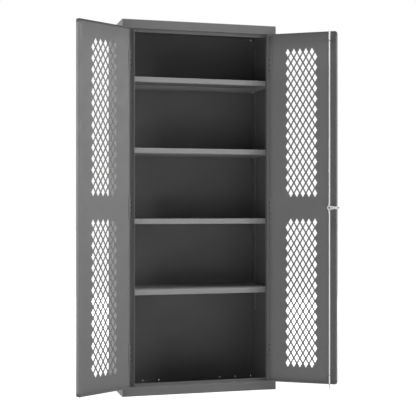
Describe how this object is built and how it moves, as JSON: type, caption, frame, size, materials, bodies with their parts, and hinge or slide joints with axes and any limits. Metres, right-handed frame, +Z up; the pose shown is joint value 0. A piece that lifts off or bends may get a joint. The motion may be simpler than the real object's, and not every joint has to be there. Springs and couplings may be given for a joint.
{
  "type": "ventilated storage cabinet",
  "caption": "Tall steel storage cabinet with diamond-perforated inset double doors, clip-in shelves on slotted uprights and a three-point rod latch behind a turning handle.",
  "frame": {"origin": "centre of the base, on the floor", "axes": "+X to the right seen from the front, +Y to the back (the doors face -Y), +Z up"},
  "size_m": [1.5026, 0.716, 2.1336],
  "materials": {
    "paint": "semi-gloss powder coat, mid grey",
    "zinc": "bright zinc plate",
    "black": "satin black over a die casting",
    "chrome": "polished plate"
  },
  "bodies": {
    "cabinet": {"left_side_panel": "paint", "right_side_panel": "paint", "top_panel": "paint", "bottom_panel": "paint", "back_panel": "paint", "front_left_upright": "paint", "front_right_upright": "paint", "rear_left_upright": "paint", "rear_right_upright": "paint", "shelf_1": "paint", "shelf_1_front_left_clip": "zinc", "shelf_1_front_right_clip": "zinc", "shelf_1_rear_left_clip": "zinc", "shelf_1_rear_right_clip": "zinc", "shelf_2": "paint", "shelf_2_front_left_clip": "zinc", "shelf_2_front_right_clip": "zinc", "shelf_2_rear_left_clip": "zinc", "shelf_2_rear_right_clip": "zinc", "shelf_3": "paint", "shelf_3_front_left_clip": "zinc", "shelf_3_front_right_clip": "zinc", "shelf_3_rear_left_clip": "zinc", "shelf_3_rear_right_clip": "zinc", "shelf_4": "paint", "shelf_4_front_left_clip": "zinc", "shelf_4_front_right_clip": "zinc", "shelf_4_rear_left_clip": "zinc", "shelf_4_rear_right_clip": "zinc", "left_lower_hinge_frame_leaf": "paint", "left_lower_hinge_pin": "zinc", "left_middle_hinge_frame_leaf": "paint", "left_middle_hinge_pin": "zinc", "left_upper_hinge_frame_leaf": "paint", "left_upper_hinge_pin": "zinc", "right_lower_hinge_frame_leaf": "paint", "right_lower_hinge_pin": "zinc", "right_middle_hinge_frame_leaf": "paint", "right_middle_hinge_pin": "zinc", "right_upper_hinge_frame_leaf": "paint", "right_upper_hinge_pin": "zinc"},
    "left_door": {"left_door": "paint", "left_lower_hinge_door_leaf": "paint", "left_middle_hinge_door_leaf": "paint", "left_upper_hinge_door_leaf": "paint"},
    "right_door": {"right_door": "paint", "door_astragal": "paint", "handle_base": "black", "right_lower_hinge_door_leaf": "paint", "right_middle_hinge_door_leaf": "paint", "right_upper_hinge_door_leaf": "paint"},
    "handle": {"handle": "black", "latch_cam": "zinc", "cam_nut": "zinc"},
    "lock_plug": {"lock_plug": "chrome"},
    "upper_rod": {"upper_rod": "zinc"},
    "lower_rod": {"lower_rod": "zinc"}
  },
  "joints": [
    {"name": "left_door_hinge", "type": "hinge", "parent": "cabinet", "child": "left_door", "pos_m": [-0.4071, -0.2331, 1.0668], "axis": [0, 0, 1], "range_deg": [-29.4, 148.6]},
    {"name": "right_door_hinge", "type": "hinge", "parent": "cabinet", "child": "right_door", "pos_m": [0.4071, -0.2331, 1.0668], "axis": [0, 0, -1], "range_deg": [-30, 148]},
    {"name": "handle_turn", "type": "hinge", "parent": "right_door", "child": "handle", "pos_m": [0.71552, -0.43113, 1.0668], "axis": [-0.5299, -0.848, 0], "range_deg": [0, 90]},
    {"name": "key_turn", "type": "hinge", "parent": "handle", "child": "lock_plug", "pos_m": [0.71552, -0.43113, 1.0668], "axis": [-0.5299, -0.848, 0], "range_deg": [0, 90]},
    {"name": "upper_rod_pivot", "type": "hinge", "parent": "handle", "child": "upper_rod", "pos_m": [0.71552, -0.43113, 1.0913], "axis": [-0.5299, -0.848, 0], "range_deg": [-91.7, 0]},
    {"name": "lower_rod_pivot", "type": "hinge", "parent": "handle", "child": "lower_rod", "pos_m": [0.71552, -0.43113, 1.0423], "axis": [-0.5299, -0.848, 0], "range_deg": [-91.7, 0]}
  ],
  "couplings": [
    {"joint": "upper_rod_pivot", "follows": "handle_turn", "ratio": -1.0188},
    {"joint": "lower_rod_pivot", "follows": "handle_turn", "ratio": -1.0188}
  ]
}
